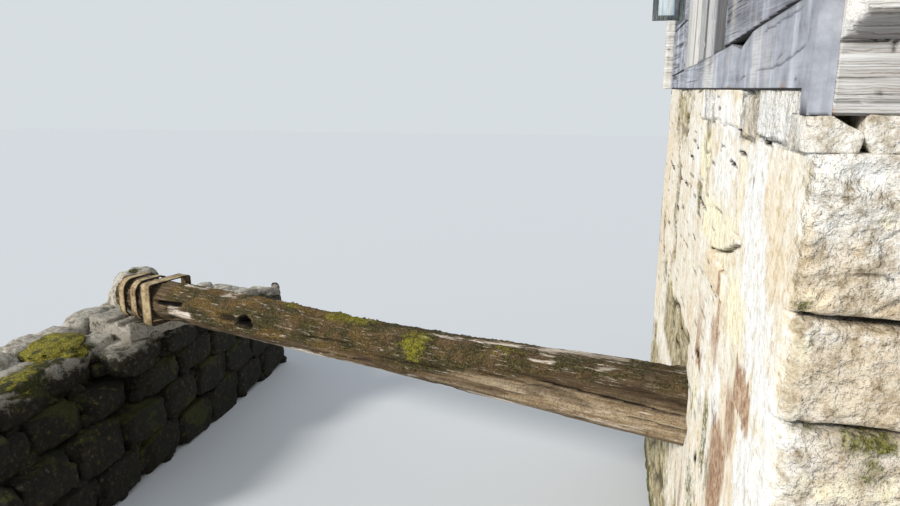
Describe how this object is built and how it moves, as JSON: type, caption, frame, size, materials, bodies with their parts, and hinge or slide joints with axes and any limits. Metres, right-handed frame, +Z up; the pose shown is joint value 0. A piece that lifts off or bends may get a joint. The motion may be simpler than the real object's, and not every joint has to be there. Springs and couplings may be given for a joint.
{
  "type": "watermill building with its wheel shaft",
  "caption": "Small hollow watermill: stone storey, hewn-timber storey and boarded gable roof, with its bare wooden wheel shaft lying across the race to a dry-stone bank wall.",
  "frame": {"origin": "under the middle of the whole model's box, at the level of the water where the walls start", "axes": "+X across the race, from the far bank to the mill; +Y along the race, away from the end with the large blocks; +Z up"},
  "size_m": [11.726, 7.432, 8.3365],
  "materials": {
    "limed_rubble": "rough rubble with worn lime render",
    "rough_blocks": "rough hewn blocks",
    "dry_stone": "dark wet dry stone with moss",
    "weathered_timber": "silver-grey weathered, hewn",
    "roof_timber": "weathered boards",
    "inner_timber": "dry old wood",
    "shaft_wood": "wet rotted wood with moss",
    "hoop_iron": "rusted forged bar",
    "window_paint": "old grey paint",
    "window_glass": "clear"
  },
  "bodies": {
    "root": {"race_wall": "limed_rubble", "levelling_stones": "rough_blocks", "race_side_boards": "weathered_timber", "end_boulder": "dry_stone", "land_wall": "limed_rubble", "back_end_wall": "limed_rubble", "front_end_wall": "rough_blocks", "door_sill_stone": "rough_blocks", "bank_wall": "dry_stone", "bearing_stone": "dry_stone", "race_side_timbers": "weathered_timber", "land_side_timbers": "weathered_timber", "front_end_timbers": "weathered_timber", "back_end_timbers": "weathered_timber", "door_lintel": "weathered_timber", "door_frame": "weathered_timber", "door_leaf": "weathered_timber", "door_ledges": "weathered_timber", "floor_joists": "inner_timber", "floor_boards": "inner_timber", "rafters_race_side": "inner_timber", "rafters_land_side": "inner_timber", "collar_ties": "inner_timber", "tie_beams": "inner_timber", "roof_race_slope": "roof_timber", "roof_land_slope": "roof_timber", "ridge_cap": "roof_timber", "barge_boards_front": "roof_timber", "barge_boards_back": "roof_timber", "gable_boards_front": "roof_timber", "gable_boards_back": "roof_timber", "shaft_log": "shaft_wood", "hoop_inner": "hoop_iron", "hoop_outer": "hoop_iron", "loose_strap": "hoop_iron", "race_window_frame": "window_paint", "race_window_open_sash": "window_paint", "race_window_shut_sash": "window_paint", "race_window_glass": "window_glass", "land_window_frame": "window_paint", "land_window_sashes": "window_paint", "land_window_glass": "window_glass"}
  },
  "joints": []
}
